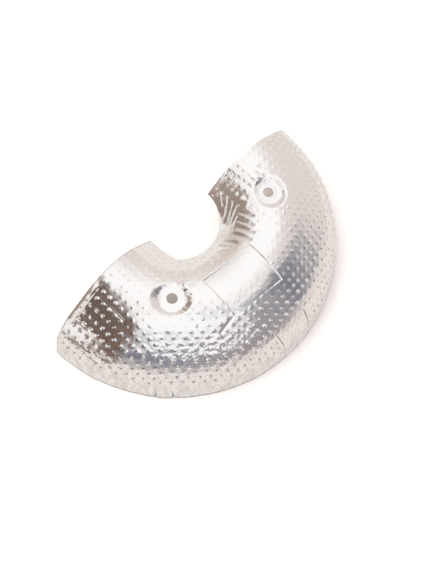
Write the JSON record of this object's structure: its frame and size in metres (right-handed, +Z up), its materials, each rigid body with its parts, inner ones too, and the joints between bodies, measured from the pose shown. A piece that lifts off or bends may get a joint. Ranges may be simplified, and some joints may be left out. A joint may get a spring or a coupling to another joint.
{
  "type": "exhaust heat shield",
  "caption": "Half-shell heat shield of thin bright embossed aluminium sheet, pressed to cover a U-bend in an exhaust pipe, with a skirt, pressed bolt pads and an open underside.",
  "frame": {"origin": "middle of the shield's box, on the table that its outer rim lies on", "axes": "+Z up from the table towards the crown, +Y from the outside of the bend towards its two ends, +X towards the right end seen from the outside of the bend"},
  "size_m": [0.2096, 0.1085, 0.0397],
  "materials": {
    "aluminium_sheet": "bright embossed sheet, as rolled"
  },
  "bodies": {
    "root": {"heat_shield": "aluminium_sheet"}
  },
  "joints": []
}
